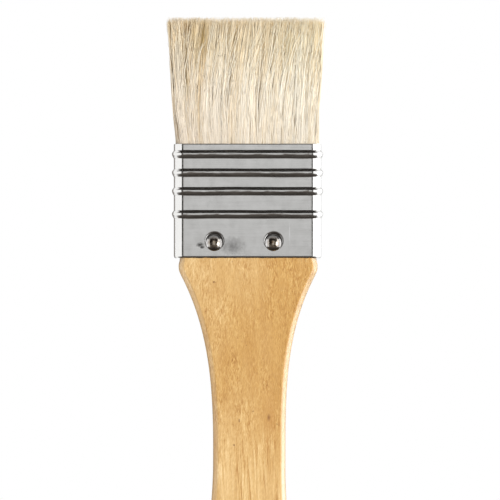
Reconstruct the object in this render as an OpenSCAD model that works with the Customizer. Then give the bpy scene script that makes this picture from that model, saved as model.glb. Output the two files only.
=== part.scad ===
// Flat wash brush: natural bristles set in a beaded tin ferrule on a nailed wooden handle.
// The brush stands on the butt of its handle. +Z runs up to the bristle tips, +X is to the
// right and the front face looks along -Y. The origin is at the butt, on the brush's axis.

/* [Overall] */
// Length from the butt of the handle to the bristle tips
total_l = 220; // [200:1:240]
// Length of the bristles that stands free of the ferrule
free_l = 43; // [35:1:50]

/* [Ferrule] */
// Width of the ferrule across its rounded ends
ferrule_w = 50; // [49:1:56]
// Thickness of the ferrule across its flat faces
ferrule_t = 8.4; // [8.4:0.1:9]
// Height of the ferrule from its lower edge to its mouth
ferrule_h = 38.7; // [36:0.1:42]
// Thickness of the tinned sheet
sheet_t = 0.3; // [0.2:0.05:0.3]
// How much fuller than a half circle each rounded end is
end_fullness = 0.22; // [0.1:0.02:0.3]
// Width of one pressed bead
bead_w = 2.7; // [2:0.1:3]
// Height of one pressed bead above the sheet
bead_h = 0.65; // [0.4:0.05:0.8]
// Distance from the mouth to the first bead
bead_first = 3.3; // [3:0.1:4]
// Distance between the three upper beads
bead_pitch = 6.25; // [5.5:0.05:6.5]
// Distance from the third bead to the lowest one
bead_last_gap = 7.8; // [6:0.1:8]
// Width of the folded seam up the back
seam_w = 4; // [3:0.5:5]
// Height of the folded seam above the sheet
seam_h = 0.3; // [0.2:0.05:0.4]

/* [Nails] */
// Diameter of the domed nail head
nail_head_d = 5.6; // [5:0.1:6]
// Height of the domed nail head
nail_head_h = 1.3; // [1:0.1:1.6]
// Diameter of the nail's shank
nail_d = 1.5; // [1.2:0.1:1.6]
// Length of the nail's shank below its head
nail_l = 5.6; // [5:0.1:6]
// Distance between the two nails of one face
nail_pitch = 20; // [18:0.5:24]
// How far the pair sits to the left of the middle, seen from its own side
nail_offset = 1.3; // [1.2:0.1:1.5]
// Height of the nails above the ferrule's lower edge
nail_rise = 5.2; // [4.5:0.1:6]

/* [Handle] */
// Thickness of the handle board
handle_t = 7.7; // [7.4:0.05:7.75]
// Width of the handle's head at the ferrule
head_w = 47.2; // [44:0.1:47.6]
// Width of the handle at its narrow waist
waist_w = 24.6; // [22:0.1:27]
// Width of the handle at the belly of its grip
belly_w = 30; // [28:0.1:33]
// Radius of the handle's rounded edges
edge_r = 2.4; // [1.5:0.1:3]
// Diameter of the hanging hole
hole_d = 6; // [4:0.5:8]
// Height of the hanging hole above the butt
hole_z = 13; // [11:0.5:16]

/* [Bristles] */
// Width of the tuft at its tips
tip_w = 52.4; // [48:0.1:54]
// Thickness of the tuft at its tips
tip_t = 6.4; // [5:0.1:7]
// Thickness of the strip that parts the front and back bristles
plug_t = 2.6; // [2:0.1:3]
// Width of the parting strip
plug_w = 42; // [36:1:43]
// Height of the parting strip
plug_h = 21; // [18:1:22]
// Height above the mouth where the front and back bristles meet
reservoir_h = 16; // [12:1:20]

/* [Hidden] */
$fn = 64;

mouth_z = total_l - free_l;
skirt_z = mouth_z - ferrule_h;
// Distance of each bead's middle line below the mouth
bead_drops = [
  bead_first,
  bead_first + bead_pitch,
  bead_first + 2 * bead_pitch,
  bead_first + 2 * bead_pitch + bead_last_gap
];
// Radius of the circle whose cap, bead_w wide and bead_h high, is the bead
bead_r = bead_w * bead_w / (8 * bead_h) + bead_h / 2;
// Radius and centre of the ferrule's rounded ends
end_r = ferrule_t / 2 + end_fullness;
end_x = ferrule_w / 2 - end_r;
inner_t = ferrule_t - 2 * sheet_t;

nail_z = skirt_z + nail_rise;
nail_slip = 0.02;
// How far a cut runs past the solid that it cuts
cut_over = 1;

// The handle's head ends inside the ferrule, under the resin
head_depth = 9.7;
resin_gap = 0.3;
head_top_z = skirt_z + head_depth;
resin_z = head_top_z + resin_gap;
resin_h = 10;
resin_wall = 0.4;
resin_floor = 2.5;
roots_z = resin_z + resin_floor;
slip = 0.02;

// The tuft bends about a line just above the mouth, on a rounded base
flex_rise = 2;
flex_z = mouth_z + flex_rise;
base_clearance = 0.2;
base_r = inner_t / 2 - base_clearance;
bend_gap = 0.1;
roots_top_z = flex_z - base_r - bend_gap;
mouth_inset = 0.8;
tuft_mouth_w = ferrule_w - 2 * mouth_inset;
// Below the bending line the tuft is narrower, to turn freely inside the rounded ends
foot_overhang = 1.4;
foot_w = 2 * (end_x + foot_overhang);
parting_gap = 0.02;

// Stations of the handle's outline, as heights above the butt
belly_z = 22;
waist_z = 68;
shoulder_z = 134;
flare_power = 3.2;
shoulder_blend = 0.3;
butt_power = 2.4;
outline_step = 3;
// Turn between two points of the butt's outline
butt_turn = 7.5;
// Facets of the ball that rounds the handle's edges
ball_fn = 20;

// Smaller of two widths, eased into each other over the distance k
function soft_min(a, b, k) = b - k * ln(1 + exp((b - a) / k));
function smooth(u) = u * u * (3 - 2 * u);

// Half width of the handle's flare from the waist up to the shoulder
function flare(z) = waist_w / 2
  + (head_w - waist_w) / 2 * pow(max(0, (z - waist_z) / (shoulder_z - waist_z)), flare_power);
// Half width of the grip between the belly and the waist
function grip(z) = waist_w / 2 + (belly_w - waist_w) / 2 * smooth((waist_z - z) / (waist_z - belly_z));
// Half width of the rounded butt
function butt(z) = belly_w / 2 * pow(1 - pow((belly_z - z) / belly_z, butt_power), 1 / butt_power);
function handle_half_w(z) = z > waist_z ? soft_min(flare(z), head_w / 2, shoulder_blend)
  : z > belly_z ? grip(z)
  : butt(z);

// Heights of the outline's points: crowded towards the butt, where it turns fastest
butt_zs = [for (a = [0 : butt_turn : 90 - butt_turn]) belly_z * (1 - cos(a))];
side_zs = [for (z = [belly_z : outline_step : shoulder_z + outline_step]) z];
outline_zs = concat(butt_zs, side_zs, [head_top_z]);

module handle_outline() {
  right = [for (z = outline_zs) [handle_half_w(z), z]];
  left = [for (i = [len(outline_zs) - 1 : -1 : 1]) [-handle_half_w(outline_zs[i]), outline_zs[i]]];
  polygon(concat(right, left));
}

// Plan of the ferrule's inside, drawn in from the sheet by the distance inset
module sleeve_plan(inset) {
  r = end_r - sheet_t - inset;
  t = inner_t - 2 * inset;
  intersection() {
    union() {
      for (side = [-1, 1]) translate([side * end_x, 0]) circle(r);
      square([2 * end_x, 2 * r], center = true);
    }
    square([ferrule_w, t], center = true);
  }
}

// Side profile of the ferrule, from the axis out to half the thickness, with its beads
module sleeve_profile(half_t, over) {
  translate([0, skirt_z - over]) square([half_t, ferrule_h + 2 * over]);
  intersection() {
    for (drop = bead_drops) translate([half_t + bead_h - bead_r, mouth_z - drop]) circle(bead_r);
    translate([0, skirt_z]) square([half_t + bead_h, ferrule_h]);
  }
}

// A solid the shape of the ferrule's outside, drawn in by the distance inset
module sleeve_solid(inset, over) {
  intersection() {
    union() {
      for (side = [-1, 1]) translate([side * end_x, 0, 0])
        rotate_extrude() sleeve_profile(end_r - inset, over);
      sleeve_slab(end_r - inset, 2 * end_x, over);
    }
    sleeve_slab(ferrule_t / 2 - inset, ferrule_w + 4 * bead_h, over);
  }
}

module sleeve_slab(half_t, width, over) {
  rotate([90, 0, 90]) translate([0, 0, -width / 2]) linear_extrude(width) {
    sleeve_profile(half_t, over);
    mirror([1, 0]) sleeve_profile(half_t, over);
  }
}

// One nail, its shank along +Y from the sheet's face and its head towards -Y
module nail() {
  head_r = nail_head_d / 2;
  dome_r = (head_r * head_r + nail_head_h * nail_head_h) / (2 * nail_head_h);
  color("gainsboro") rotate([90, 0, 0]) {
    intersection() {
      translate([0, 0, nail_head_h - dome_r]) sphere(dome_r);
      cylinder(r = head_r, h = nail_head_h);
    }
    translate([0, 0, -nail_l]) cylinder(d = nail_d, h = nail_l + nail_head_h / 2);
  }
}

// Places a child at the nail of one face (0 front, 180 back) and side (-1 left, 1 right)
module at_nail(face, side) {
  rotate([0, 0, face]) translate([side * nail_pitch / 2 - nail_offset, -ferrule_t / 2, nail_z])
    children();
}

module nail_hole() {
  rotate([90, 0, 0]) translate([0, 0, -nail_l - slip])
    cylinder(d = nail_d + 2 * nail_slip, h = nail_l + slip + cut_over);
}

module all_nail_holes() {
  for (face = [0, 180], side = [-1, 1]) at_nail(face, side) nail_hole();
}

module handle() {
  color("burlywood") difference() {
    rotate([90, 0, 0]) minkowski() {
      linear_extrude(handle_t - 2 * edge_r, center = true) offset(delta = -edge_r) handle_outline();
      sphere(edge_r, $fn = ball_fn);
    }
    translate([0, 0, hole_z]) rotate([90, 0, 0]) cylinder(d = hole_d, h = 2 * handle_t, center = true);
    all_nail_holes();
  }
}

module ferrule() {
  color("silver") difference() {
    union() {
      sleeve_solid(0, 0);
      translate([-seam_w / 2, 0, skirt_z]) cube([seam_w, ferrule_t / 2 + seam_h, ferrule_h]);
    }
    sleeve_solid(sheet_t, cut_over);
    all_nail_holes();
  }
}

module nail_front_left() { at_nail(0, -1) nail(); }
module nail_front_right() { at_nail(0, 1) nail(); }
module nail_back_left() { at_nail(180, -1) nail(); }
module nail_back_right() { at_nail(180, 1) nail(); }

// The parting strip stands on the resin's floor, among the bristle roots
module plug_shape(gap) {
  t = plug_t + 2 * gap;
  translate([0, 0, roots_z]) linear_extrude(plug_h + gap) {
    square([plug_w - plug_t, t], center = true);
    for (side = [-1, 1]) translate([side * (plug_w - plug_t) / 2, 0]) circle(d = t);
  }
}

module spacer_plug() {
  color("tan") plug_shape(0);
}

// A shallow cup of hard resin that holds the root ends of the bristles
module setting_resin() {
  color("goldenrod") difference() {
    translate([0, 0, resin_z]) linear_extrude(resin_h) sleeve_plan(slip);
    translate([0, 0, roots_z]) linear_extrude(resin_h) sleeve_plan(resin_wall);
  }
}

// The front half space, from the parting plane out to the front
module front_half() {
  translate([-ferrule_w, -ferrule_w - parting_gap / 2, 0]) cube([2 * ferrule_w, ferrule_w, 2 * total_l]);
}

// The bristles inside the ferrule, up to just below the line they bend about
module roots(facing) {
  resin_top_z = resin_z + resin_h;
  color("wheat") rotate([0, 0, facing]) intersection() {
    difference() {
      union() {
        translate([0, 0, roots_z]) linear_extrude(roots_top_z - roots_z) sleeve_plan(resin_wall + slip);
        translate([0, 0, resin_top_z]) linear_extrude(roots_top_z - resin_top_z) sleeve_plan(slip);
      }
      plug_shape(slip);
    }
    front_half();
  }
}

module bristle_roots_front() { roots(0); }
module bristle_roots_back() { roots(180); }

// Front view of the free tuft: a narrow foot, then it spreads evenly from the mouth to the tips
module tuft_front_view() {
  translate([-foot_w / 2, flex_z - base_r]) square([foot_w, base_r + cut_over]);
  polygon([
    [-tuft_mouth_w / 2, flex_z], [tuft_mouth_w / 2, flex_z],
    [tip_w / 2, total_l], [-tip_w / 2, total_l]
  ]);
}

// Side view of the free tuft: a round base at the bending line, then a slow taper
module tuft_side_view() {
  translate([0, flex_z]) circle(base_r);
  polygon([[-base_r, flex_z], [base_r, flex_z], [tip_t / 2, total_l], [-tip_t / 2, total_l]]);
}

// The wedge-shaped gap that the parting strip leaves between the front and back bristles
module reservoir() {
  base_z = flex_z - base_r - cut_over;
  rotate([90, 0, 90]) linear_extrude(plug_w, center = true)
    polygon([[-plug_t / 2, base_z], [plug_t / 2, base_z], [0, mouth_z + reservoir_h]]);
}

module tuft(facing) {
  color("cornsilk") rotate([0, 0, facing]) difference() {
    intersection() {
      rotate([90, 0, 0]) linear_extrude(2 * ferrule_t, center = true) tuft_front_view();
      rotate([90, 0, 90]) linear_extrude(2 * ferrule_w, center = true) tuft_side_view();
      front_half();
    }
    reservoir();
  }
}

module bristle_tuft_front() { tuft(0); }
module bristle_tuft_back() { tuft(180); }

handle();
ferrule();
nail_front_left();
nail_front_right();
nail_back_left();
nail_back_right();
setting_resin();
spacer_plug();
bristle_roots_front();
bristle_roots_back();
bristle_tuft_front();
bristle_tuft_back();
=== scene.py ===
"""Looks for the flat wash brush: its handle, beaded ferrule, domed nails and bristles.

Lengths are in metres, except where a comment says mm. The brush stands on its butt: +Z runs to
the bristle tips, +X is to the right and the front face looks along -Y.
"""
from math import atan2, cos, exp, hypot, pi, radians, sin

import bmesh
import bpy
import numpy as np
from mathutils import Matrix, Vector, noise


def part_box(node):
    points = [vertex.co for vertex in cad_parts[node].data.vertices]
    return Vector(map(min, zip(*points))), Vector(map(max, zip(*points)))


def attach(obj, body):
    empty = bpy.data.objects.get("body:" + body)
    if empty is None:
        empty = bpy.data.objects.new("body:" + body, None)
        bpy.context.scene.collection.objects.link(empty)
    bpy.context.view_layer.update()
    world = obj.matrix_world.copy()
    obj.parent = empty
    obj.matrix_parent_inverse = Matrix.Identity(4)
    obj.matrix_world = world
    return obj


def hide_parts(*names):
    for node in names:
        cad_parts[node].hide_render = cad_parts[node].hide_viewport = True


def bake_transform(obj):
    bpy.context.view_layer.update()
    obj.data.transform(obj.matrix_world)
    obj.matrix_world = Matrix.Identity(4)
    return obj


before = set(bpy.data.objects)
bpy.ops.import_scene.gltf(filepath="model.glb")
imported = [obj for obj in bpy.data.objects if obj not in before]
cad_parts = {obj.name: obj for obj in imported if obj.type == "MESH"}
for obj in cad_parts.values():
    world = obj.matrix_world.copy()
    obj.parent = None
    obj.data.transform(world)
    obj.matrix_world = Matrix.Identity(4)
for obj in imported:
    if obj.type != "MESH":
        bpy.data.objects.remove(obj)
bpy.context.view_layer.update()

MM = 0.001
SEED = 7

# ---- places, from the frame
handle_lo, handle_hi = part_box("handle")
ferrule_lo, ferrule_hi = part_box("ferrule")
plug_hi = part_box("spacer_plug")[1]
nail_boxes = {n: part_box(n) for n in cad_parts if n.startswith("nail_")}

# Each nail's name, x, z and face: -1 for the front, 1 for the back
NAIL_CENTRES = [(n, (lo.x + hi.x) / 2, (lo.z + hi.z) / 2, -1 if "front" in n else 1)
                for n, (lo, hi) in sorted(nail_boxes.items())]

FACES = ((-1, "front"), (1, "back"))
MOUTH, SKIRT = ferrule_hi.z, ferrule_lo.z
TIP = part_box("bristle_tuft_front")[1].z
FREE_MM = (TIP - MOUTH) / MM
ROOTS_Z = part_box("bristle_roots_front")[0].z

# Ferrule: thickness and width over the plain sheet, without beads or seam
BEAD_H = 0.65 * MM
SHEET = 0.3 * MM
HALF_T = 4.2 * MM
END_R = 4.42 * MM
END_X = ferrule_hi.x - BEAD_H - END_R
BEAD_DROPS = [3.3 * MM, 9.55 * MM, 15.8 * MM, 23.6 * MM]


def smooth(u):
    """Eases from 0 to 1 as u goes from 0 to 1."""
    u = np.clip(u, 0.0, 1.0)
    return u * u * (3 - 2 * u)


def soft_min(a, b, k):
    """The smaller of a and b, eased into each other over the distance k."""
    return b - k * np.logaddexp(0.0, (b - a) / k)


def noise3(x, y, z, seed):
    """Smooth noise from -1 to 1, with features about one unit across."""
    return noise.noise(Vector((x + 17.3 * seed, y - 5.1 * seed, z + 9.7 * seed)))


def add_object(name, data):
    """Puts a new object with the given mesh, light or camera in the scene."""
    obj = bpy.data.objects.new(name, data)
    bpy.context.scene.collection.objects.link(obj)
    return obj


def smooth_object(name, verts, faces):
    """A new smooth-shaded object."""
    mesh = bpy.data.meshes.new(name)
    mesh.from_pydata(verts, [], faces)
    mesh.update()
    mesh.polygons.foreach_set("use_smooth", [True] * len(mesh.polygons))
    return add_object(name, mesh)


def closed_object(name, verts, faces):
    """A new smooth-shaded object with a closed surface, every face turned outwards."""
    obj = smooth_object(name, verts, faces)
    obj.data.validate()
    bm = bmesh.new()
    bm.from_mesh(obj.data)
    bmesh.ops.recalc_face_normals(bm, faces=bm.faces)
    bm.to_mesh(obj.data)
    bm.free()
    return obj


# ---- materials
class Nodes:
    """A short way to build the nodes of a material or of the world. Inputs are filled with
    sockets, numbers or (r, g, b) colours, and most methods return a socket."""

    def __init__(self, name, kind=bpy.data.materials, shader="Principled BSDF"):
        self.owner = kind.new(name)
        self.owner.use_nodes = True
        self.tree = self.owner.node_tree
        self.shader = self.tree.nodes[shader]

    def put(self, value, target):
        """Links a socket to the input target, or gives it a colour or a number."""
        if isinstance(value, bpy.types.NodeSocket):
            self.tree.links.new(value, target)
        else:
            target.default_value = (*value, 1) if target.type == "RGBA" else value

    def add(self, kind, **values):
        """A new node; the values are settings of the node, or else go into its inputs."""
        node = self.tree.nodes.new(kind)
        for key, value in values.items():
            if hasattr(node, key):
                setattr(node, key, value)
            else:
                self.put(value, node.inputs[key])
        return node

    def set(self, **values):
        """Fills inputs of the shader."""
        for key, value in values.items():
            self.put(value, self.shader.inputs[key.replace("_", " ")])

    def coords(self, kind="Object"):
        return self.add("ShaderNodeTexCoord").outputs[kind]

    def axes(self, kind="Object"):
        """The coordinates X, Y and Z."""
        return tuple(self.add("ShaderNodeSeparateXYZ", Vector=self.coords(kind)).outputs)

    def near(self, centre, radius):
        """0 at centre, rising to 1 at the distance radius, which may differ along each axis."""
        scale = tuple(1 / r for r in radius)
        place = tuple(-c * k for c, k in zip(centre, scale))
        mapping = self.add("ShaderNodeMapping", Vector=self.coords(), Location=place, Scale=scale)
        length = self.add("ShaderNodeVectorMath", operation="LENGTH", Vector=mapping.outputs[0])
        return length.outputs["Value"]

    def noise(self, fineness, turn=0.0, detail=3.0, roughness=0.5, distortion=0.0):
        """Noise from 0 to 1; fineness is about how many features a metre holds along each axis,
        after a turn about the Y axis."""
        scale = tuple(1 / k for k in fineness)
        node = self.add("ShaderNodeMapping", vector_type="TEXTURE", Vector=self.coords(),
                        Rotation=(0, turn, 0), Scale=scale)
        node = self.add("ShaderNodeTexNoise", Vector=node.outputs[0], Scale=1.0, Detail=detail,
                        Roughness=roughness, Distortion=distortion)
        return node.outputs["Fac"]

    def ramp(self, fac, stops):
        """A colour ramp; stops is a list of (place, (r, g, b))."""
        node = self.add("ShaderNodeValToRGB", Fac=fac)
        elements = node.color_ramp.elements
        while len(elements) < len(stops):
            elements.new(0.5)
        for element, (place, colour) in zip(elements, stops):
            element.position = place
            element.color = (*colour, 1)
        return node.outputs["Color"]

    def remap(self, fac, low, high, to_low, to_high, kind="LINEAR"):
        """Takes low to to_low and high to to_high in a straight line, and goes no further."""
        node = self.add("ShaderNodeMapRange", interpolation_type=kind)
        for value, target in zip((fac, low, high, to_low, to_high), node.inputs):
            self.put(value, target)
        return node.outputs["Result"]

    def step(self, fac, low, high):
        """Eases from 0 at low to 1 at high."""
        return self.remap(fac, low, high, 0.0, 1.0, "SMOOTHSTEP")

    def math(self, operation, *values):
        """One arithmetic step."""
        node = self.add("ShaderNodeMath", operation=operation)
        for value, target in zip(values, node.inputs):
            self.put(value, target)
        return node.outputs[0]

    def times(self, a, b):
        return self.math("MULTIPLY", a, b)

    def rest(self, value):
        """What is left of 1."""
        return self.math("SUBTRACT", 1.0, value)

    def blend(self, fac, a, b):
        """A number that goes from a to b as fac goes from 0 to 1."""
        return self.math("ADD", self.times(a, self.rest(fac)), self.times(b, fac))

    def mix(self, fac, first, second, blend="MIX"):
        """Blends two colours."""
        node = self.add("ShaderNodeMix", data_type="RGBA", blend_type=blend)
        for value, place in ((fac, 0), (first, 6), (second, 7)):
            self.put(value, node.inputs[place])
        return node.outputs[2]

    def tinted(self, fac, base, pattern, stops):
        """The colour base multiplied by a ramp of the pattern."""
        return self.mix(fac, base, self.ramp(pattern, stops), "MULTIPLY")

    def bump(self, height, strength, distance):
        node = self.add("ShaderNodeBump", Strength=strength, Distance=distance, Height=height)
        self.set(Normal=node.outputs["Normal"])


def grey(v):
    return (v, v, v)


# A pin knot on the front of the handle: its middle, and how far it reaches along each axis
KNOT = (7.2 * MM, handle_lo.y, 84.5 * MM)
KNOT_R = (0.8 * MM, 1.2 * MM, 1.6 * MM)
STAIN_R = (4.5 * MM, 9 * MM, 14 * MM)
# Below this height the wood turns slowly paler
SAPWOOD_Z = 92 * MM
# Scuffs on the front of the ferrule, beside the left nail: middle, reach and strength
SMUDGES = [
    ((-16.1 * MM, -HALF_T, 142.9 * MM), 1.9 * MM, 2.2),
    ((-15.4 * MM, -HALF_T, 142.0 * MM), 1.1 * MM, 2.6),
    ((-5.1 * MM, -HALF_T, 142.3 * MM), 6.6 * MM, 0.95),
]
DARKEST_SMUDGE = 0.92
# Reach of the painted shadow round a nail head, and how far its middle lies aside of and above the nail's
NAIL_SHADOW_R = 3.15 * MM
NAIL_SHADOW_ASIDE, NAIL_SHADOW_ABOVE = 0.3 * MM, 0.7 * MM
# A fine light scratch beside the right nail: its middle and its reach along each axis
SCRATCH = (14.2 * MM, -HALF_T, 146.8 * MM)
SCRATCH_R = (0.22 * MM, 2.0 * MM, 5.0 * MM)


def wood_tone(n, x, z, low):
    """The slow changes of the wood's colour: paler below, to the left and at the top."""
    left = n.remap(x, -20 * MM, 4 * MM, 0.40, 0.08)
    right = n.remap(x, 6 * MM, 14 * MM, 0.0, -0.3)
    high = n.remap(z, 118 * MM, 138 * MM, 0.0, 0.3)
    drift = n.remap(n.noise((70, 70, 26)), 0.3, 0.7, -0.3, 0.3)
    below = n.remap(low, 0.0, 1.0, 0.0, 0.8)
    pale = n.math("ADD", n.math("ADD", below, n.math("ADD", left, right)), n.math("ADD", high, drift))
    tones = [(0.0, (0.50, 0.262, 0.060)), (0.3, (0.545, 0.30, 0.080)), (0.9, (0.665, 0.43, 0.175))]
    return n.ramp(n.remap(pale, -0.4, 1.2, 0.0, 1.0), tones)


def painted_rim_light(n, base, x, y, z):
    """The rounded edge, with painted light: a painted sheen makes it palest on the right, and on the left
    a painted highlight makes it paler only above the waist, with slight painted shade below.
    """
    rim = n.remap(n.math("ABSOLUTE", y), handle_hi.y - 0.5 * MM, handle_hi.y - 0.1 * MM, 1.0, 0.0)
    # painted light: a paler tone on the left edge above the waist, slight shade below it, and a white
    # sheen on the right edge
    left = n.mix(n.remap(z, 76 * MM, 100 * MM, 1.0, 0.0), (1.22, 1.27, 1.50), (0.98, 0.91, 0.84))
    tone = n.mix(n.remap(x, -MM, MM, 0.0, 1.0), left, (1.10, 1.30, 2.1))
    return n.mix(rim, base, tone, "MULTIPLY")


def wood_knot(n, base, lines):
    """A pin knot, and the stain that runs from it along the lines of the grain."""
    stain = n.remap(n.near(KNOT, STAIN_R), 0.0, 1.0, 0.8, 0.0)
    stain = n.times(stain, n.remap(lines, 0.35, 0.6, 1.0, 0.1))
    base = n.mix(stain, base, (0.47, 0.22, 0.045))
    return n.mix(n.remap(n.near(KNOT, KNOT_R), 0.0, 1.0, 1.0, 0.0), base, (0.26, 0.105, 0.025))


def wood_material():
    """Clear-lacquered hardwood with short crossing strokes in the heartwood, long lines in the
    sapwood, pores and a pin knot."""
    n = Nodes("lacquered_wood")
    x, y, z = n.axes()
    low = n.remap(z, 60 * MM, SAPWOOD_Z, 1.0, 0.0)
    base = wood_tone(n, x, z, low)

    leaning_left = n.noise((1700, 1700, 480), turn=0.2, roughness=0.65, distortion=1.2)
    leaning_right = n.noise((1500, 1500, 330), turn=-0.08, roughness=0.65, distortion=1.2)
    strokes = n.remap(n.mix(0.5, leaning_left, leaning_right), 0.3, 0.7, 0.24, 0.76)
    lines = n.noise((1500, 1500, 62), turn=-0.04, roughness=0.65, distortion=0.9)
    grain = n.mix(low, strokes, lines)
    bands = n.noise((260, 260, 14), turn=-0.03, distortion=0.5)
    base = n.tinted(0.8, base, bands, [(0.35, (0.94, 0.91, 0.86)), (0.65, (1.05, 1.08, 1.13))])
    patches = n.remap(n.noise((190, 190, 80)), 0.38, 0.60, 0.2, 1.0)
    patches = n.times(patches, n.remap(z, 110 * MM, 130 * MM, 1.0, 0.8))
    dark = [(0.36, (0.68, 0.54, 0.34)), (0.44, (0.90, 0.84, 0.73)), (0.5, grey(1.0))]
    light = [(0.55, (1.08, 1.13, 1.22)), (0.62, (1.22, 1.40, 1.80))]
    base = n.tinted(patches, base, grain, dark + light)
    fibres = n.noise((2600, 2600, 700), turn=0.2, detail=2)
    base = n.tinted(0.7, base, fibres, [(0.3, (0.86, 0.80, 0.70)), (0.7, (1.08, 1.12, 1.20))])
    # painted light on the rounded edge: a sheen on the right, light and shade on the left
    base = painted_rim_light(n, base, x, y, z)
    pores = n.noise((620, 620, 420), detail=1)
    base = n.tinted(0.85, base, pores, [(0.76, grey(1.0)), (0.79, (0.42, 0.32, 0.22))])
    n.set(Base_Color=wood_knot(n, base, lines), Roughness=n.remap(fibres, 0.3, 0.7, 0.30, 0.44))
    n.set(Coat_Weight=0.6, Coat_Roughness=0.16, Specular_IOR_Level=0.5)
    n.bump(grain, 0.8, 0.26 * MM)
    return n.owner


def tin_material():
    """Bright tinned sheet: rolled finish, faint scratches and a little cloudiness."""
    n = Nodes("tinned_sheet")
    clouds = n.noise((130, 130, 60), detail=4, roughness=0.6)
    base = n.ramp(clouds, [(0.3, (0.83, 0.825, 0.81)), (0.7, (0.90, 0.895, 0.88))])
    grime = n.noise((700, 700, 500), detail=4, roughness=0.7)
    for centre, reach, strength in SMUDGES:
        spot = n.remap(n.near(centre, (reach, reach, 0.7 * reach)), 0.0, 1.0, 1.0, 0.0)
        dark = n.remap(n.mix(0.5, spot, grime), 0.38, 0.76, 0.0, 0.65 * strength)
        base = n.mix(n.math("MINIMUM", dark, DARKEST_SMUDGE), base, (0.10, 0.095, 0.09))
    base = n.mix(n.remap(n.near(SCRATCH, SCRATCH_R), 0.2, 1.0, 0.8, 0.0), base, grey(1.0))
    # painted shadow: a dark crescent on the sheet above each nail head
    for _, nx, nz, side in NAIL_CENTRES:
        above = (nx - side * NAIL_SHADOW_ASIDE, side * HALF_T, nz + NAIL_SHADOW_ABOVE)
        nail_shadow = n.remap(n.near(above, (NAIL_SHADOW_R, NAIL_SHADOW_R, NAIL_SHADOW_R)), 0.84, 1.0, 0.85, 0.0)
        base = n.mix(nail_shadow, base, (0.09, 0.08, 0.07))
    rolled = n.noise((60, 60, 4200), detail=2)
    mottled = n.mix(0.5, rolled, n.noise((400, 400, 300)))
    n.set(Base_Color=base, Metallic=1.0, Roughness=n.remap(mottled, 0.35, 0.65, 0.13, 0.22))
    n.bump(rolled, 0.12, 0.02 * MM)
    return n.owner


def nail_material():
    """Nickel plate with very fine wear, and a painted reflection on the crown of each head: browned and
    mottled where it mirrors the dark studio.
    """
    n = Nodes("polished_nickel")
    wear = n.noise((900, 900, 900), detail=4, roughness=0.7)
    base = n.ramp(wear, [(0.35, (0.40, 0.385, 0.375)), (0.65, (0.56, 0.55, 0.545))])
    _, y, _ = n.axes()
    # painted reflection: the crown of each head is browned and mottled
    crown_reflection = n.remap(n.math("ABSOLUTE", y), HALF_T + 0.75 * MM, HALF_T + 1.25 * MM, 0.0, 1.0)
    base = n.mix(crown_reflection, base, n.ramp(wear, [(0.35, (0.22, 0.15, 0.09)), (0.6, (0.86, 0.76, 0.64))]))
    n.set(Base_Color=base, Metallic=1.0, Roughness=n.remap(wear, 0.3, 0.7, 0.08, 0.20))
    return n.owner


# Where the hairs part and darker hairs below show, with painted shade for the shadow between them: middle
# and reach along each axis
SHADED_HOLLOWS = [((-16 * MM, 0, TIP - 9 * MM), (8 * MM, 60 * MM, 12 * MM)),
           ((13 * MM, 0, TIP - 10 * MM), (3.5 * MM, 60 * MM, 9 * MM)),
           ((-20 * MM, 0, TIP - 24 * MM), (6 * MM, 60 * MM, 14 * MM))]


def bristle_material(name, root, tip, shadow):
    """Pale hog bristle: a slightly darker root, a paler end and uneven pigment along each hair.
    The hairs on the left are a little darker, a painted shade for the side away from the light, and shadow
    is how much painted shade darkens a hair in the hollows."""
    n = Nodes(name)
    x, _, z = n.axes()
    along = n.remap(z, MOUTH, TIP, 0.0, 1.0)
    warm = tuple(c * k for c, k in zip(tip, (0.99, 0.985, 0.93)))
    end = tuple(0.5 * c + k for c, k in zip(tip, (0.36, 0.34, 0.30)))
    middle = tuple(0.96 * c for c in tip)
    base = n.ramp(along, [(0.0, root), (0.45, middle), (0.8, warm), (0.95, warm), (0.985, end)])
    pigment = n.noise((700, 700, 60), detail=2)
    base = n.tinted(0.6, base, pigment, [(0.3, grey(0.86)), (0.7, grey(1.06))])
    # painted shade: the hairs darken towards the left, away from the light on the right
    left = n.remap(x, -ferrule_hi.x, ferrule_hi.x, 1.0, 0.0)
    base = n.mix(left, base, (0.94, 0.90, 0.88), "MULTIPLY")
    hollow_shade_streaks = n.remap(n.noise((420, 420, 36), detail=2), 0.42, 0.62, 1.0, 0.0)
    # painted shade in the hollows, in streaks
    for centre, reach in SHADED_HOLLOWS:
        spot = n.remap(n.near(centre, reach), 0.2, 1.0, shadow, 0.0)
        base = n.mix(n.times(spot, hollow_shade_streaks), base, (0.74, 0.67, 0.47), "MULTIPLY")
    n.set(Base_Color=base, Roughness=0.55, Specular_IOR_Level=0.06)
    return n.owner


def resin_material():
    """Hard amber resin with small bubbles."""
    n = Nodes("amber_resin")
    cells = n.add("ShaderNodeTexVoronoi", Vector=n.coords(), Scale=900.0)
    base = n.ramp(cells.outputs["Distance"], [(0.1, (0.40, 0.21, 0.05)), (0.5, (0.58, 0.34, 0.10))])
    n.set(Base_Color=base, Roughness=0.25, Coat_Weight=0.4)
    return n.owner


def plug_material():
    """Raw softwood strip with a plain straight grain."""
    n = Nodes("raw_softwood")
    grain = n.noise((80, 2400, 2400), detail=4)
    base = n.ramp(grain, [(0.3, (0.52, 0.36, 0.20)), (0.7, (0.72, 0.56, 0.36))])
    n.set(Base_Color=base, Roughness=0.75)
    n.bump(grain, 0.3, 0.05 * MM)
    return n.owner


# ---- handle
# The outline in mm: half widths and heights of the belly, the waist and the head's shoulder
BELLY_HALF, WAIST_HALF, HEAD_HALF = 15.0, 12.3, 23.6
BELLY_Z, WAIST_Z, SHOULDER_Z = 22.0, 68.0, 134.0
# How full the butt is, how late the head flares, and how softly the flare meets the head's sides
BUTT_POWER, FLARE_POWER, SHOULDER_BLEND = 2.4, 3.2, 0.3
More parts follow.
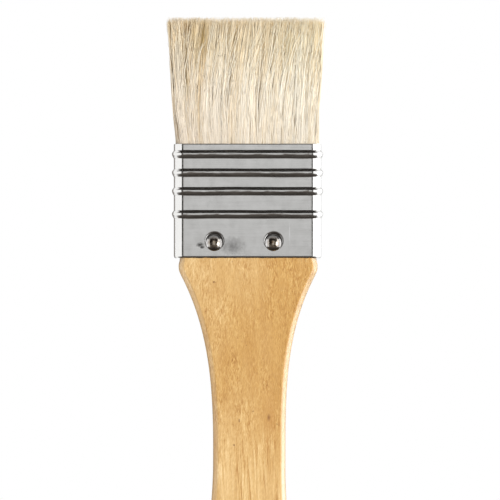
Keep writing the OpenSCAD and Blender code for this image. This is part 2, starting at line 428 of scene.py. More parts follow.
# The head draws in by DRAW_IN mm from this height, over DRAW_IN_H mm
DRAW_IN, DRAW_IN_Z, DRAW_IN_H = 0.4, 135.8, 2.2
# The handle stands this far to the right in mm, and WANDER more at the height WANDER_Z
SHIFT, WANDER, WANDER_Z, WANDER_REACH = 0.2, 0.42, 76.0, 32.0
# How far the sanded surface wavers in mm, and over which lengths
WAVER, WAVER_ACROSS, WAVER_ALONG = 0.035, 9.0, 26.0
# The edge is a large arc that meets the flat face at an angle, eased by a small fillet
FILLET_R, ARC_ANGLE = 0.5, radians(50)
# The hanging hole in mm: its height, its radius and the easing of its edge
HOLE_Z, HOLE_R, HOLE_EASE, EASE_STEPS = 13.0, 3.0, 0.7, 6
# Columns of each flat face, and the block of it that the hole's rings fill
COLUMNS, BLOCK_COLUMNS = 30, 7
BLOCK_BELOW, BLOCK_ABOVE = 6.2, 5.2


def handle_half_width(z):
    """Half width in mm of the handle at the height z in mm."""
    if z > WAIST_Z:
        rise = (z - WAIST_Z) / (SHOULDER_Z - WAIST_Z)
        flare = WAIST_HALF + (HEAD_HALF - WAIST_HALF) * rise**FLARE_POWER
        half = float(soft_min(flare, HEAD_HALF, SHOULDER_BLEND))
        return half - DRAW_IN * float(smooth((z - DRAW_IN_Z) / DRAW_IN_H))
    if z > BELLY_Z:
        return WAIST_HALF + (BELLY_HALF - WAIST_HALF) * float(smooth((WAIST_Z - z) / (WAIST_Z - BELLY_Z)))
    return BELLY_HALF * (1 - ((BELLY_Z - z) / BELLY_Z) ** BUTT_POWER) ** (1 / BUTT_POWER)


def handle_centre(z):
    """The shaped handle wanders a little to the right at its waist, in mm."""
    return SHIFT + WANDER * exp(-(((z - WANDER_Z) / WANDER_REACH) ** 2))


def rim_profile(half_t):
    """Half of the edge's section as (inset, y) in mm, from the middle of the edge to the flat face."""
    arc_r = (half_t - FILLET_R * (1 - sin(ARC_ANGLE))) / sin(ARC_ANGLE)
    section = [(arc_r * (1 - cos(a)), arc_r * sin(a)) for a in np.linspace(0, ARC_ANGLE, 9)]
    x0, y0 = section[-1]
    for a in np.linspace(ARC_ANGLE, pi / 2, 5)[1:]:
        inset = x0 + FILLET_R * (cos(ARC_ANGLE) - cos(a))
        section.append((inset, y0 + FILLET_R * (sin(a) - sin(ARC_ANGLE))))
    return section


def outline_points(top):
    """Right-hand outline as (x, z) in mm, from the butt up, with its outward normals."""
    shoulder_foot = SHOULDER_Z - 8
    zs = [BELLY_Z * (1 - cos(radians(a))) for a in np.arange(0, 89, 3)]
    zs += list(np.arange(BELLY_Z, shoulder_foot, 1.0))
    zs += list(np.arange(shoulder_foot, SKIRT / MM + 1, 0.4))
    zs += list(np.arange(zs[-1] + 1, top, 2.0)) + [top]
    points = [(handle_half_width(z), z) for z in zs]
    normals = []
    for i in range(len(points)):
        a, b = points[max(i - 1, 0)], points[min(i + 1, len(points) - 1)]
        d = Vector((b[0] - a[0], b[1] - a[1])).normalized()
        normals.append((d.y, -d.x) if i else (0.0, -1.0))
    return points, normals


class Board:
    """The handle's mesh as it grows. Points are given in mm, from the handle's centre line."""

    def __init__(self, half_t):
        self.half_t = half_t
        self.verts, self.faces = [], []

    def point(self, x, y, z):
        """Adds a point of the slightly wavering surface and returns its number."""
        waver = WAVER * noise3(x / WAVER_ACROSS, y / WAVER_ACROSS, z / WAVER_ALONG, 1)
        x = x * (1 + waver / max(8.0, abs(x))) + handle_centre(z)
        self.verts.append((x * MM, (y + 0.25 * waver * (y / self.half_t)) * MM, z * MM))
        return len(self.verts) - 1

    def loft(self, first, second):
        """Joins two rings of points with faces."""
        for k in range(len(first)):
            m = (k + 1) % len(first)
            self.faces.append((first[k], first[m], second[m], second[k]))


def board_rim(board, points, normals, section):
    """The rim, one strip on the right and one on the left, from the back face to the front face."""
    rim = {}
    for side in (1, -1):
        for i, ((x, z), (nx, nz)) in enumerate(zip(points, normals)):
            for j, (inset, y) in enumerate(section):
                if side == -1 and i == 0:
                    rim[side, i, j] = rim[1, i, j]
                    continue
                rim[side, i, j] = board.point(side * (x - nx * inset), y, z - nz * inset)
    for side in (1, -1):
        for i in range(len(points) - 1):
            for j in range(len(section) - 1):
                quad = [rim[side, i, j], rim[side, i + 1, j], rim[side, i + 1, j + 1], rim[side, i, j + 1]]
                board.faces.append(tuple(dict.fromkeys(quad)))
    return rim


def board_face(board, rim, rows, face, j):
    """The grid of points of one flat face, whose rows join the rim at its place j."""
    grid = {}
    for i in range(1, rows):
        grid[i, 0], grid[i, COLUMNS] = rim[-1, i, j], rim[1, i, j]
        left, right = board.verts[grid[i, 0]], board.verts[grid[i, COLUMNS]]
        z = right[2] / MM
        for c in range(1, COLUMNS):
            u = c / COLUMNS
            x = (left[0] * (1 - u) + right[0] * u) / MM
            grid[i, c] = board.point(x - handle_centre(z), face * board.half_t, z)
    for c in range(COLUMNS):
        board.faces.append((rim[1, 0, j], grid[1, c], grid[1, c + 1]))
    return grid


def board_hole(board, grid, face, loop):
    """Rings that turn the open block of one face into the round hole with an eased edge."""
    outer = [grid[k] for k in loop]
    places = [(board.verts[v][0] / MM, board.verts[v][2] / MM) for v in outer]
    angles = [atan2(z - HOLE_Z, x) for x, z in places]
    edge_r = HOLE_R + HOLE_EASE
    rings = [outer]
    for s in (0.35, 0.65, 0.9, 1.0):
        ring = []
        for (x, z), a in zip(places, angles):
            edge_x, edge_z = edge_r * cos(a), HOLE_Z + edge_r * sin(a)
            x, z = x * (1 - s) + edge_x * s, z * (1 - s) + edge_z * s
            ring.append(board.point(x, face * board.half_t, z))
        rings.append(ring)
    for step in range(1, EASE_STEPS + 1):
        b = radians(90 * step / EASE_STEPS)
        r = HOLE_R + HOLE_EASE * (1 - sin(b))
        y = face * (board.half_t - HOLE_EASE * (1 - cos(b)))
        rings.append([board.point(r * cos(a), y, HOLE_Z + r * sin(a)) for a in angles])
    for first, second in zip(rings, rings[1:]):
        board.loft(first, second)
    return rings[-1]


def build_handle():
    """A rounded board: a rim swept round the outline, a flat face each side and a hanging hole."""
    board = Board((handle_hi.y - handle_lo.y) / 2 / MM)
    points, normals = outline_points(handle_hi.z / MM)
    rows = len(points)
    half = rim_profile(board.half_t)
    section = list(reversed(half)) + [(inset, -y) for inset, y in half[1:]]
    last = len(section) - 1
    rim = board_rim(board, points, normals, section)
    grids = {face: board_face(board, rim, rows, face, j) for face, j in ((1, 0), (-1, last))}

    # the two flat faces, each with a block round the hole left open
    low = max(i for i in range(rows) if points[i][1] < HOLE_Z - BLOCK_BELOW)
    high = min(i for i in range(rows) if points[i][1] > HOLE_Z + BLOCK_ABOVE)
    c_lo, c_hi = COLUMNS // 2 - BLOCK_COLUMNS, COLUMNS // 2 + BLOCK_COLUMNS
    for grid in grids.values():
        for i in range(1, rows - 1):
            for c in range(COLUMNS):
                if low <= i < high and c_lo <= c < c_hi:
                    continue
                board.faces.append((grid[i, c], grid[i + 1, c], grid[i + 1, c + 1], grid[i, c + 1]))
    loop = [(low, c) for c in range(c_lo, c_hi)] + [(i, c_hi) for i in range(low, high)]
    loop += [(high, c) for c in range(c_hi, c_lo, -1)] + [(i, c_lo) for i in range(high, low, -1)]
    mouths = {face: board_hole(board, grid, face, loop) for face, grid in grids.items()}
    board.loft(mouths[-1], mouths[1])

    # the sawn top end, inside the ferrule
    top = rows - 1
    ring = [rim[1, top, j] for j in range(last + 1)]
    ring += [grids[-1][top, c] for c in range(COLUMNS - 1, 0, -1)]
    ring += [rim[-1, top, j] for j in range(last, -1, -1)]
    ring += [grids[1][top, c] for c in range(1, COLUMNS)]
    board.faces.append(tuple(ring))
    return closed_object("handle_board", board.verts, board.faces)


# ---- ferrule
# A pressed bead in section, from its lower foot up, in mm: height and how far it stands out
BEAD_SECTION = [(-1.62, 0.0), (-1.12, 0.32), (-0.48, 0.60), (0.22, 0.65), (1.08, 0.0)]
BEAD_REACH = 1.8
# The dish that each driven nail pressed into the sheet, in mm: where its middle lies aside of and
# above the nail's, its radius, the width of its slope and its depth
DISH_ASIDE, DISH_ABOVE, DISH_R, DISH_SLOPE, DISH_DEPTH = 0.12, 0.62, 3.3, 0.9, 0.34
# The folded seam up the back: its height, and in mm half its width and the width of its step
SEAM_H = 0.3 * MM
SEAM_HALF, SEAM_STEP = 2.0, 0.35
# How far the cut edges turn in at the mouth and at the skirt, and over which height
MOUTH_LIP, MOUTH_LIP_H = 0.05 * MM, 0.4 * MM
SKIRT_LIP, SKIRT_LIP_H = 0.3 * MM, 0.75 * MM
# The cut edge at the skirt: how uneven it is, and over which height that fades
SKIRT_UNEVEN, SKIRT_FADE = 0.11 * MM, 1.2 * MM
# Half width of the flat faces; their dents fade out over the last millimetre
FLAT_HALF = 20.5 * MM
# How far from a nail's centre the sheet's points lie close together, in mm
NAIL_REACH = 4.3
# The largest and the smallest distance between the sheet's rows
ROW_MAX, ROW_MIN = 0.8 * MM, 0.03 * MM


def bead_offset(z):
    """How far the pressed beads stand out of the sheet at the height z."""
    heights, offsets = zip(*BEAD_SECTION)
    around = np.array([-0.12, -0.06, 0.0, 0.06, 0.12])
    out = 0.0
    for drop in BEAD_DROPS:
        u = (z - (MOUTH - drop)) / MM
        if abs(u) < BEAD_REACH:
            out = max(out, MM * float(np.interp(u + around, heights, offsets).mean()))
    return out


def lip_offset(z):
    """The cut edges turn in slightly at the mouth and at the skirt."""
    top = smooth(1 - (MOUTH - z) / MOUTH_LIP_H)
    bottom = smooth(1 - (z - SKIRT) / SKIRT_LIP_H)
    return -float(MOUTH_LIP * top + SKIRT_LIP * bottom)


def face_offset(x, z, face):
    """Dents, the dishes round the nails, the scuffs, and the folded seam up the back."""
    out = 0.022 * MM * noise3(x / (14 * MM), face * 3.0, z / (9 * MM), 2)
    out += 0.008 * MM * noise3(x / (3 * MM), face * 5.0, z / (3 * MM), 3)
    for _, nx, nz, side in NAIL_CENTRES:
        if side == face:
            r = hypot(x - nx - DISH_ASIDE * MM, z - nz - DISH_ABOVE * MM) / MM
            out -= DISH_DEPTH * MM * float(smooth((DISH_R - r) / DISH_SLOPE))
    if face == -1:
        for (dx, _, dz), reach, strength in SMUDGES:
            out -= 0.02 * strength * MM * exp(-2 * ((x - dx) ** 2 + (z - dz) ** 2) / reach**2)
    else:
        out += SEAM_H * float(smooth((SEAM_HALF - abs(x / MM)) / SEAM_STEP + 0.5))
    return out


def flat_stations(face, others=()):
    """Stations in mm across a flat face: closer together round the nails and at the other places."""
    centres = [nx / MM for _, nx, _, side in NAIL_CENTRES if side == face]
    near = [x for c in centres for x in np.arange(c - NAIL_REACH, c + NAIL_REACH, 0.25)] + list(others)
    far = [x for x in np.arange(-20.4, 20.41, 0.85) if min(abs(x - k) for k in near) > 0.3]
    return sorted(near + far)


def ferrule_plan():
    """Stations round the ferrule as (kind, value): flat stations by x, end stations by angle."""
    front = flat_stations(-1)
    back = flat_stations(1, np.arange(-2.6, 2.61, 0.13))
    fine = list(np.arange(2, 9, 2.4)) + list(np.arange(9, 28, 1.2)) + list(np.arange(30, 90, 5))
    ends = fine + [90] + [180 - a for a in reversed(fine)]
    plan = [("flat", x * MM, -1) for x in front]
    plan += [("end", radians(a), 1) for a in ends]
    plan += [("flat", x * MM, 1) for x in reversed(back)]
    plan += [("end", radians(180 - a), -1) for a in ends]
    return plan


def ferrule_point(station, z, inward):
    """One point of the wall; the cut edge at the skirt is a little uneven."""
    kind, value, side = station
    flat = kind == "flat"
    along = value if flat else value * HALF_T
    uneven = SKIRT_UNEVEN * (1 + noise3(along / (1.6 * MM), side, 0, 6))
    z += uneven * float(smooth(1 - (z - SKIRT) / SKIRT_FADE))
    wave, shift = 1.0, 0.0
    if flat:
        wave += 0.16 * noise3(value / (9 * MM), side, z / (5 * MM), 4)
        wave += 0.1 * noise3(value / (1.7 * MM), side, z / MM, 7)
        shift = 0.10 * MM * noise3(value / (8 * MM), side, z / (4 * MM), 5)
    d = bead_offset(z + shift) * wave + lip_offset(z) - inward
    if flat:
        d += face_offset(value, z, side) * min(1.0, (FLAT_HALF - abs(value)) / MM)
        return (value, side * (HALF_T + d), z)
    half, r = HALF_T + d, END_R + d
    reach = half / max(abs(cos(value)), 1e-6)
    r = float(soft_min(reach, r, 0.07 * MM))
    return (side * (END_X + r * sin(value)), -r * cos(value), z)


def ferrule_heights():
    """Heights of the outer wall's rows: close together on the beads, the two rims and the nails."""
    zs = []
    for drop in BEAD_DROPS:
        zs += list(MOUTH - drop + np.linspace(-1.85, 1.65, 29) * MM)
    zs += list(np.linspace(SKIRT, SKIRT + 0.7 * MM, 6))
    zs += list(MOUTH - np.array([0.6, 0.4, 0.2, 0.07, 0.0]) * MM)
    nail_z = NAIL_CENTRES[0][2]
    zs += list(nail_z + np.arange(-NAIL_REACH, NAIL_REACH, 0.25) * MM)
    zs = sorted(z for z in zs if SKIRT <= z <= MOUTH)
    rows = zs[:1]
    for z in zs[1:]:
        start = rows[-1]
        steps = int((z - start) / ROW_MAX) + 1
        if z - start > ROW_MIN:
            rows += [start + (z - start) * (k + 1) / steps for k in range(steps)]
    return rows


def build_ferrule():
    """One folded sheet: an outer and an inner wall joined at the mouth and at the skirt."""
    plan, outer = ferrule_plan(), ferrule_heights()
    inner = outer[:-1:3] + outer[-1:]
    count = len(plan)
    verts, faces = [], []
    for inward, heights in ((0.0, outer), (SHEET, inner)):
        first = len(verts)
        for z in heights:
            verts += [ferrule_point(s, z, inward) for s in plan]
        for level in range(len(heights) - 1):
            for k in range(count):
                a, b = first + level * count + k, first + level * count + (k + 1) % count
                faces.append((a, b, b + count, a + count))
    outer_top, inner_bottom = (len(outer) - 1) * count, len(outer) * count
    inner_top = inner_bottom + (len(inner) - 1) * count
    for k in range(count):
        m = (k + 1) % count
        faces.append((outer_top + k, outer_top + m, inner_top + m, inner_top + k))
        faces.append((m, k, inner_bottom + k, inner_bottom + m))
    return closed_object("ferrule_sheet", verts, faces)


# ---- nails
NAIL_SHANK_R, NAIL_SEGMENTS = 0.74 * MM, 48


def nail_profile(head_r, head_h, length):
    """A nail's outline from the top of its dome to its point: radius, and height over the sheet."""
    shank_r = NAIL_SHANK_R
    angles = np.linspace(0, radians(86), 16)
    dome = [(head_r * sin(a), head_h * cos(a)) for a in angles]
    rim = [(head_r, 0.0), (head_r * 0.985, -0.1 * MM), (head_r * 0.9, -0.18 * MM)]
    shank = [(shank_r, -0.2 * MM), (shank_r, -length + 1.4 * MM)]
    point = [(shank_r * 0.5, -length + 0.6 * MM), (0.0, -length)]
    return dome + rim + shank + point


def build_nail(name, box, side):
    """A domed nail turned about its shank: a polished head with a thin rim, and a point."""
    lo, hi = box
    face_y = side * HALF_T
    head_h, length = (hi.y - face_y, face_y - lo.y) if side > 0 else (face_y - lo.y, hi.y - face_y)
    cx, cz = (lo.x + hi.x) / 2, (lo.z + hi.z) / 2
    verts, faces, rings = [], [], []
    for r, y in nail_profile((hi.x - lo.x) / 2, head_h, length):
        steps = NAIL_SEGMENTS if r > 1e-9 else 1
        rings.append(range(len(verts), len(verts) + steps))
        angles = [2 * pi * s / NAIL_SEGMENTS for s in range(steps)]
        verts += [(cx + r * cos(a), face_y + side * y, cz + r * sin(a)) for a in angles]
    for a, b in zip(rings, rings[1:]):
        for s in range(NAIL_SEGMENTS):
            m = (s + 1) % NAIL_SEGMENTS
            quad = [a[s % len(a)], a[m % len(a)], b[m % len(b)], b[s % len(b)]]
            faces.append(tuple(dict.fromkeys(quad)))
    return closed_object(name + "_domed", verts, faces)


# ---- bristles
# Hairs deep inside, hairs near the surface, and loose hairs that lie over them
INNER_STRANDS, OUTER_STRANDS, LAID_STRANDS = 3200, 4200, 1200
CLUMPS = 420
# Depth of a hair: 0 at the plug between the rows, 1 at the surface. Outer hairs start here
SURFACE_DEPTH = 0.62
# The shades of hair, from dark to light: name, root, tip, how much painted shade in the hollows darkens
# it, share
SHADES = [
    ("umber", (0.57, 0.44, 0.23), (0.74, 0.575, 0.31), 1.0, 0.10),
    ("straw", (0.69, 0.56, 0.35), (0.90, 0.73, 0.45), 1.0, 0.22),
    ("cream", (0.75, 0.64, 0.46), (0.97, 0.82, 0.58), 0.9, 0.28),
    ("ivory", (0.79, 0.69, 0.53), (0.99, 0.88, 0.68), 0.6, 0.26),
    ("pale", (0.83, 0.76, 0.64), (1.0, 0.94, 0.80), 0.1, 0.14),
]
# The tuft in mm: half widths at the mouth and at the tips, half its thickness at the tips, and how
# much it swells between them
ROOT_HALF_W, TIP_HALF_W, TIP_HALF_T, SWELL = 24.2, 26.2, 3.1, 0.4
# The gap that the plug leaves between the rows closes at this share of the free length
GAP_END = 0.37
# How far the surface hairs lean sideways at their tips, in mm: to the right as each face is seen
SURFACE_LEAN = 4.4
# Turn from one hair's three-sided section to the next, in radians
GOLDEN_ANGLE = 2.399


def root_half_t(x):
    """Half thickness of the ferrule's inside at x, in mm, rounded at its ends."""
    inner_r = (END_R - SHEET) / MM - 0.12
    beyond = np.clip(np.abs(x) - END_X / MM, 0, inner_r)
    return np.minimum((HALF_T - SHEET) / MM - 0.08, np.sqrt(inner_r**2 - beyond**2))


class Hairs:
    """All hairs' roots, leanings, waves and lengths, in mm, from which their paths are drawn."""

    def __init__(self, rng):
        self.reach = (END_X + END_R - SHEET) / MM - 0.35
        self.plug_half, self.plug_reach = plug_hi.y / MM + 0.08, plug_hi.x / MM
        inner = self.roots(rng, INNER_STRANDS, 0.0, SURFACE_DEPTH)
        outer = self.roots(rng, OUTER_STRANDS, SURFACE_DEPTH, 1.0)
        laid = self.roots(rng, LAID_STRANDS, 0.93, 1.0)
        self.x, self.row, self.depth = np.concatenate([inner, outer, laid]).T
        self.count = len(self.x)
        self.layer = np.repeat([0, 1, 2], [INNER_STRANDS, OUTER_STRANDS, LAID_STRANDS])
        self.gap = np.where(np.abs(self.x) < self.plug_reach, self.plug_half, 0.0)
        self.clumps(rng)
        self.shapes(rng)
        self.lengths(rng)

    def roots(self, rng, count, shallow, deep):
        """Roots as rows of x, row side and depth, as dense in plan everywhere in their layer."""
        found = []
        while len(found) < count:
            x, depth = rng.uniform(-self.reach, self.reach), rng.uniform(shallow, deep)
            if rng.uniform(0, 4) < float(root_half_t(x)):
                found.append((x, rng.choice((-1.0, 1.0)), depth))
        return np.array(found)

    def clumps(self, rng):
        """Hairs stick together in clumps that lean, wave and end together."""
        seed_x = rng.uniform(-self.reach, self.reach, CLUMPS)
        seed_depth = rng.uniform(0, 1, CLUMPS)
        seed_row = rng.choice((-1.0, 1.0), CLUMPS)
        far = 100.0 * (self.row[:, None] != seed_row)
        spread = (self.x[:, None] - seed_x) ** 2 + (3.5 * (self.depth[:, None] - seed_depth)) ** 2
        self.clump = (spread + far).argmin(1)
        c = self.clump
        self.seed_x = seed_x[c]
        self.clump_lean = rng.normal(0, 1.0, CLUMPS)[c]
        self.clump_shade = rng.uniform(0, 1, CLUMPS)[c]
        self.clump_drop = np.abs(rng.normal(0, 0.25, CLUMPS))[c]
        self.gather = rng.uniform(0.1, 0.6, CLUMPS)[c]
        self.slow = (rng.normal(0, 0.22, CLUMPS)[c], rng.uniform(1.2, 2.6, CLUMPS)[c],
                     rng.uniform(0, 2 * pi, CLUMPS)[c])

    def shapes(self, rng):
        """How each hair leans, bows, curls and kinks, and its thickness and shade."""
        n = self.count
        # surface hairs lean to one side, but not near the tuft's sides
        surface = smooth((self.depth - 0.45) / 0.4)
        inward = smooth((22.5 - self.x * self.row) / 7) * smooth((20 + self.x * self.row) / 11)
        self.lean_x = self.clump_lean + rng.normal(0, 0.6, n) + SURFACE_LEAN * surface * inward * -self.row
        self.lean_y = rng.normal(0, 0.35, n)
        laid = self.layer == 2
        self.lean_x[laid] += (-self.row * rng.normal(0.8, 2.2, n))[laid]
        self.bow = rng.normal(0, 0.45, n)
        curled = laid | (rng.uniform(0, 1, n) < 0.15)
        self.curl = np.where(curled, rng.normal(-self.row * 2.0, 2.6, n), 0.0)
        self.kink = (rng.normal(0, 0.12, n), rng.uniform(2.5, 5.0, n), rng.uniform(0, 2 * pi, n))
        self.radius = rng.uniform(0.075, 0.135, n)
        self.radius[laid] *= 1.15
        # the paler shades go to hairs near the surface, to loose hairs and to some clumps. This is partly
        # painted light: the darker shades deep in the tuft stand for the shade among the hairs, and the
        # paler loose hairs on top for their highlights
        toward_light = 0.5 * self.clump_shade + 0.5 * rng.uniform(0, 1, n) + 0.35 * laid
        exposed = np.maximum(self.depth, smooth((np.abs(self.x) - self.reach + 2.2) / 2))
        rank = (toward_light + 1.1 * exposed**3).argsort().argsort() / n
        shade = np.searchsorted(np.cumsum([share for *_, share in SHADES]), rank, side="right")
        self.shade = np.minimum(shade, len(SHADES) - 1)

    def lengths(self, rng):
        """Free lengths in mm: a slightly wavy end with lower corners, and some shorter hairs."""
        n = self.count
        ripple = 0.22 * np.sin(self.x / 4.1) + 0.16 * np.sin(self.x / 1.7 + 1.0)
        corner = 1.1 * smooth((-21.5 - self.x) / 3) + 0.6 * smooth((self.x - 21.5) / 3)
        buried = 0.9 * (1 - self.depth)
        length = FREE_MM - 1.0 + ripple - corner - buried - self.clump_drop
        length = length + rng.normal(0, 0.4, n) + rng.exponential(0.35, n)
        short = rng.uniform(0, 1, n) < np.where(self.layer == 0, 0.1, 0.3)
        length[short] -= rng.uniform(1, 14, int(short.sum()))
        laid = self.layer == 2
        length[laid] = rng.uniform(0.35, 0.97, int(laid.sum())) * FREE_MM
        self.length = np.minimum(length, FREE_MM - 0.05)

    def paths(self, chosen, stations):
        """Centre lines of the chosen hairs: an array of hair, station and x, y, z."""
        x0, row, depth = self.x[chosen], self.row[chosen], self.depth[chosen]
        gap, length = self.gap[chosen], self.length[chosen]
        slow_size, slow_turns, slow_phase = (v[chosen] for v in self.slow)
        kink_size, kink_turns, kink_phase = (v[chosen] for v in self.kink)
        mouth, lifted = MOUTH / MM, np.where(self.layer[chosen] == 2, 0.25, 0.0)
        paths = np.zeros((len(x0), len(stations) + 2, 3))
        y0 = row * (gap + depth * (root_half_t(x0) - gap))
        for i, s in enumerate(stations):
            t = s * length / FREE_MM
            # the tuft's half thickness here, rounded off at its sides
            flat_end = np.sqrt(np.clip(1.05 - (x0 / 26.5) ** 4, 0.2, 1))
            thick = root_half_t(x0) * (1 - t) + TIP_HALF_T * flat_end * t
            thick = thick + SWELL * np.sin(np.pi * t) * (1 - 0.4 * t)
            open_gap = gap * np.clip(1 - t / GAP_END, 0, 1)
            y = row * (open_gap + depth * (thick - open_gap) + lifted * t)
            # its middle wanders to the left, its sides flare and its clumps gather
            centre = -0.3 * smooth(4 * t) - 0.35 * t
            widen = (TIP_HALF_W - ROOT_HALF_W) * t**0.75
            x = x0 * (1 + widen / ROOT_HALF_W) + centre
            pull = self.gather[chosen] * s**1.5
            x = x + pull * (self.seed_x[chosen] * (1 + widen / ROOT_HALF_W) + centre - x)
            # each hair waves, leans, bows and curls
            wave = slow_size * np.sin(2 * pi * slow_turns * t + slow_phase)
            wave = wave + kink_size * np.sin(2 * pi * kink_turns * t + kink_phase)
            wave = wave * min(1.0, 4 * s)
            x = x + self.lean_x[chosen] * t**1.6 + self.bow[chosen] * sin(pi * s)
            x = x + wave + self.curl[chosen] * np.clip((t - 0.4) / 0.6, 0, 1) ** 2
            y = y + self.lean_y[chosen] * t**1.3 + 0.5 * wave
            # and stays near the tuft's sides
            over = np.abs(x - centre) - (ROOT_HALF_W + widen - 0.25)
            x = np.where(over > 0, x - np.sign(x - centre) * 0.8 * over, x)
            paths[:, i + 2] = np.stack([x, y, mouth + s * length], 1)
        for i, z in ((0, ROOTS_Z / MM + 0.3), (1, mouth - 2.0)):
            paths[:, i] = np.stack([x0, y0, np.full(len(x0), z)], 1)
        paths[:, 2, 0], paths[:, 2, 1] = x0 * 0.998, y0
        return paths


def taper(stations):
    """Thickness along a hair: full for most of its length, fine at its end."""
    free = 1 - 0.1 * np.asarray(stations) ** 2 - 0.6 * np.asarray(stations) ** 12
    return np.concatenate([[1.0, 1.0], free])


def strand_mesh(name, paths, radius, thin):
    """Three-sided tapering hairs, closed at both ends."""
    n, stations, _ = paths.shape
    corners = np.array([0.5, 0.5 + 2 / 3, 0.5 + 4 / 3]) * pi
    angles = np.arange(n)[:, None] * GOLDEN_ANGLE + corners
    offset = np.stack([np.cos(angles), np.sin(angles), 0 * angles], 2)
    width = radius[:, None] * np.asarray(thin)[None, :]
    verts = (paths[:, :, None, :] + width[:, :, None, None] * offset[:, None, :, :]).reshape(-1, 3) * MM
    first = (np.arange(n) * stations * 3)[:, None]
    level = first[:, :, None] + (np.arange(stations - 1) * 3)[:, None]
    a, b = level + [0, 1, 2], level + [1, 2, 0]
    quads = np.stack([a, b, b + 3, a + 3], 3).reshape(-1, 4)
    last = first + (stations - 1) * 3
    caps = np.concatenate([first + [2, 1, 0], last + [0, 1, 2]])
    return smooth_object(name, verts.tolist(), quads.tolist() + caps.tolist())


def flag_paths(rng, paths):
    """The split, flagged ends: finer hairs that leave a bristle near its tip and spread a little."""
    start, end = paths[:, -2], paths[:, -1]
    out = np.zeros((len(paths), 3, 3))
    out[:, 0] = start
    out[:, 1] = (start + end) / 2 + rng.normal(0, 0.10, start.shape) * (1, 1, 0)
    out[:, 2] = end + rng.normal(0, 0.5, start.shape) * (1, 0.8, 0)
    out[:, 2, 2] += rng.uniform(-0.9, 1.2, len(paths))
    out[:, 2, 2] = np.minimum(out[:, 2, 2], TIP / MM)
    return out


def build_bristles():
    """Front and back rows, one piece for each shade of hair, bending with the tuft."""
    rng = np.random.default_rng(SEED)
    hairs = Hairs(rng)
    layers = ((True, np.linspace(0, 1, 6)), (False, np.linspace(0, 1, 19)))
    made = []
    for index, (shade_name, root, tip, shadow, _) in enumerate(SHADES):
        material = bristle_material("bristle_" + shade_name, root, tip, shadow)
        for side, side_name in FACES:
            name = f"bristles_{side_name}_{shade_name}"
            parts = []
            for inner, stations in layers:
                alike = (hairs.shade == index) & (hairs.row == side) & ((hairs.layer == 0) == inner)
                chosen = np.flatnonzero(alike)
                paths, radius = hairs.paths(chosen, stations), hairs.radius[chosen]
                parts.append(strand_mesh(name, paths, radius, taper(stations)))
                parts.append(strand_mesh("ends", flag_paths(rng, paths), radius * 0.4, (1.0, 0.7, 0.25)))
            with bpy.context.temp_override(active_object=parts[0], selected_editable_objects=parts):
                bpy.ops.object.join()
            piece = parts[0]
            piece.name = name
            piece.data.materials.append(material)
            made.append(piece)
    return made


# ---- pieces and bodies
def place_piece(piece, material, node_name):
    """Gives a piece of the rigid body its material, and puts it in the place of its plain solid."""
    piece.data.materials.append(material)
    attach(piece, "brush")
    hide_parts(node_name)


place_piece(build_handle(), wood_material(), "handle")
place_piece(build_ferrule(), tin_material(), "ferrule")
nickel = nail_material()
nails = []
for nail_name, _, _, nail_side in NAIL_CENTRES:
    nail = build_nail(nail_name, nail_boxes[nail_name], nail_side)
    place_piece(nail, nickel, nail_name)
    nails.append(nail)

for hairs in build_bristles():
    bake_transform(hairs)
    side_name = "front" if "front" in hairs.name else "back"
    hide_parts("bristle_tuft_" + side_name, "bristle_roots_" + side_name)

for node_name, material in (("setting_resin", resin_material()), ("spacer_plug", plug_material())):
    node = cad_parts[node_name]
    node.data.materials.clear()
    node.data.materials.append(material)


# ---- floor
# The floor's radius, and the radius from which it fades
FLOOR_R, FLOOR_FADE_R = 0.55, 0.25


def build_floor():
    """A plain pale floor, a disc that fades out before it meets the white background."""
    bm = bmesh.new()
    bmesh.ops.create_circle(bm, cap_ends=True, segments=96, radius=FLOOR_R)
    mesh = bpy.data.meshes.new("floor")
    bm.to_mesh(mesh)
    bm.free()
    floor = add_object("floor", mesh)
    n = Nodes("pale_floor")
    n.set(Base_Color=grey(0.93), Roughness=0.9, Specular_IOR_Level=0.1)
    n.set(Alpha=n.remap(n.near((0, 0, 0), (1, 1, 1)), FLOOR_FADE_R, FLOOR_R, 1.0, 0.0))
    mesh.materials.append(n.owner)
    floor.visible_glossy = False


build_floor()


# ---- light
# How much less green and blue there is in the dark parts of what a mirror sees
BROWNING = (0.0, 0.13, 0.24)


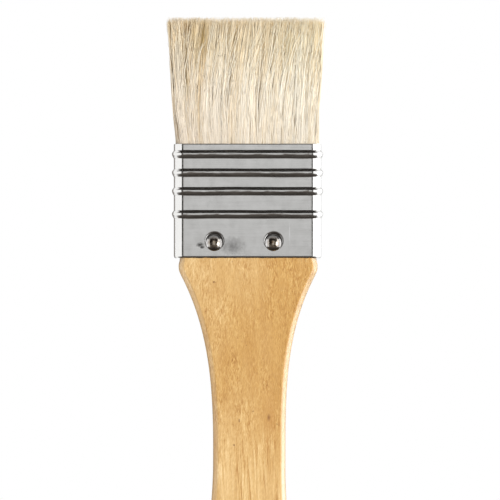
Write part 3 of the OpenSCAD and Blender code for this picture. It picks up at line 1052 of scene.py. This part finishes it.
def mirrored_studio(n, x, y, z):
    """What mirror surfaces see: a dark surround with white walls at the sides, a rim light behind
    and a grey patch round the camera."""
    abs_x, abs_z = n.math("ABSOLUTE", x), n.math("ABSOLUTE", z)
    # the dark surround, brighter below, where the table would be, and darkest straight down
    table = n.math("MULTIPLY_ADD", z, 0.17, 0.19)
    mirror = n.blend(n.step(n.times(z, -1.0), 0.2, 0.35), 0.022, table)
    # the two side walls, as high as the ferrule's ends mirror them, brightest at the far right
    left, right = n.step(n.times(x, -1.0), 0.52, 0.60), n.step(x, 0.42, 0.52)
    level = n.rest(n.step(abs_z, 0.45, 0.60))
    far_right = n.times(n.step(x, 0.55, 0.85), n.step(y, -0.12, 0.05))
    wall = n.blend(far_right, n.blend(n.step(x, -0.2, 0.2), 1.03, 1.4), 5.0)
    mirror = n.blend(n.times(n.math("MAXIMUM", left, right), level), mirror, wall)
    # behind, a grey rim light, with white at its upper and lower corners
    rim = n.blend(n.step(x, -0.2, 0.2), 0.27, 0.75)
    aside, high = n.step(abs_x, 0.35, 0.55), n.step(abs_z, 0.28, 0.42)
    above_middle = n.times(n.rest(aside), high)
    narrow = n.math("SUBTRACT", n.rest(n.step(abs_x, 0.74, 0.82)), above_middle)
    mirror = n.blend(n.times(n.step(y, 0.2, 0.4), narrow), mirror, rim)
    corners = n.times(n.step(y, 0.0, 0.3), n.times(high, aside))
    mirror = n.blend(corners, mirror, 1.0)
    # the grey patch round the camera, in front and behind
    core = n.times(n.rest(n.step(abs_x, 0.10, 0.2)), n.rest(n.step(abs_z, 0.16, 0.30)))
    return n.blend(core, mirror, n.math("MULTIPLY_ADD", z, 0.8, 0.60))


def build_world():
    """White to the camera, a studio to mirror surfaces and a soft even light to the rest."""
    n = Nodes("studio", bpy.data.worlds, "Background")
    bpy.context.scene.world = n.owner
    x, y, z = n.axes("Generated")
    mirror = mirrored_studio(n, x, y, z)
    soft = n.math("ADD", n.math("MULTIPLY_ADD", x, 0.28, 0.80), n.times(z, 0.10))
    path = n.add("ShaderNodeLightPath").outputs
    value = n.blend(path["Is Glossy Ray"], soft, mirror)
    value = n.blend(path["Is Camera Ray"], value, 1.0)
    brown = n.times(path["Is Glossy Ray"], n.rest(n.step(value, 0.1, 0.5)))
    colour = n.add("ShaderNodeCombineColor")
    for less, channel in zip(BROWNING, colour.inputs):
        n.put(n.times(value, n.rest(n.times(brown, less))), channel)
    n.set(Color=colour.outputs[0])


def area_light(name, place, target, size, power, glossy, only=()):
    """A soft light; only names the pieces that it lights, or is empty for all of them."""
    light = bpy.data.lights.new(name, "AREA")
    light.shape = "ELLIPSE"
    light.size, light.size_y = size
    light.energy = power
    obj = add_object(name, light)
    obj.location = place
    obj.rotation_euler = (Vector(target) - Vector(place)).to_track_quat("-Z", "Y").to_euler()
    obj.visible_glossy = glossy
    obj.visible_camera = False
    if only:
        lit = bpy.data.collections.new(name + "_lit")
        for piece in only:
            lit.objects.link(piece)
        obj.light_linking.receiver_collection = lit


# Soft lights that no mirror shows, one of each for either face: name, x, distance in front of
# the face, height, size and power
SOFT_LIGHTS = [("key", 0.60, 0.75, 0.55, 0.4, 5.4), ("fill", 0.10, 0.90, 0.30, 0.7, 1.0)]
LIGHT_TARGET = (0, 0, 0.15)
# Softboxes that only the nail heads mirror: name, turn and rise in degrees, size and power
NAIL_BOXES = [
    ("box_right", 29, -6, (0.15, 0.21), 0.34),
    ("box_left", -88, -4, (0.26, 0.60), 0.42),
    ("box_above", -15, 62, (1.00, 0.50), 0.46),
]
BOX_DISTANCE = 0.5


def build_lights():
    """The same lights for the front and the back face."""
    for face, side_name in FACES:
        for name, x, before, height, size, power in SOFT_LIGHTS:
            place = (x, face * before, height)
            area_light(f"{name}_{side_name}", place, LIGHT_TARGET, (size, size), power, False)
        nail_row = Vector((0, face * HALF_T, NAIL_CENTRES[0][2]))
        heads = [nail for nail in nails if side_name in nail.name]
        for name, turn, rise, size, power in NAIL_BOXES:
            turn, rise = radians(turn), radians(rise)
            level = cos(rise)
            away = Vector((sin(turn) * level, face * cos(turn) * level, sin(rise)))
            place = nail_row + BOX_DISTANCE * away
            area_light(f"{name}_{side_name}", place, nail_row, size, power, True, heads)


build_world()
build_lights()

# ---- camera
# Width in view at the ferrule's face, and the camera's distance, place and sensor
FRAME_W = 168.92 * MM
DISTANCE = 1.0
CAMERA_X, CAMERA_Z = 0.84 * MM, 141.1 * MM
SENSOR_MM = 36

camera_data = bpy.data.cameras.new("camera")
camera_data.sensor_width = SENSOR_MM
camera_data.lens = SENSOR_MM * (DISTANCE - HALF_T) / FRAME_W
camera = add_object("camera", camera_data)
camera.location = (CAMERA_X, -DISTANCE, CAMERA_Z)
camera.rotation_euler = (pi / 2, 0, 0)
bpy.context.scene.camera = camera
bpy.context.scene.view_settings.view_transform = "Standard"
